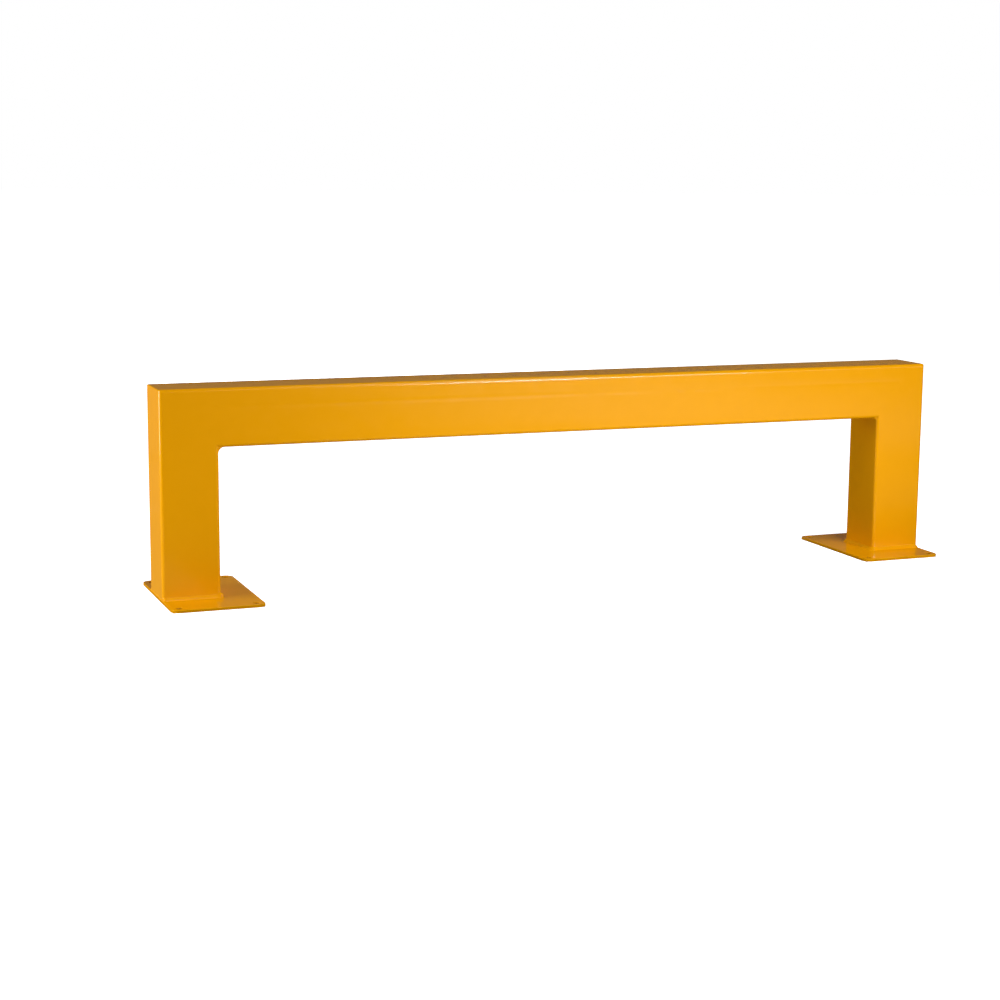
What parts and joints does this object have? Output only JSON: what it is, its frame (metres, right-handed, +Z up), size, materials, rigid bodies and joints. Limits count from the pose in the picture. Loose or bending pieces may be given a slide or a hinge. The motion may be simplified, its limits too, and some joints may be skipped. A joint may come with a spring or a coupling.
{
  "type": "low level protection barrier",
  "caption": "Low welded guard barrier: square steel tube crossbeam mitred onto short posts, each on a drilled floor plate, to stop trucks and trolleys hitting racking or walls.",
  "frame": {"origin": "on the floor under the middle of the barrier: the centre of the undersides of the two base plates", "axes": "+X along the crossbeam from the left post to the right post, +Y across the barrier away from the front face, +Z up"},
  "size_m": [1.473, 0.25, 0.36],
  "materials": {
    "powder_coat": "gloss",
    "powder_coat_plate": "gloss",
    "powder_coat_weld": "gloss"
  },
  "bodies": {
    "root": {"crossbeam": "powder_coat", "left_post": "powder_coat", "right_post": "powder_coat", "left_base_plate": "powder_coat_plate", "right_base_plate": "powder_coat_plate", "left_mitre_weld": "powder_coat_weld", "right_mitre_weld": "powder_coat_weld", "left_base_weld": "powder_coat_weld", "right_base_weld": "powder_coat_weld"}
  },
  "joints": []
}
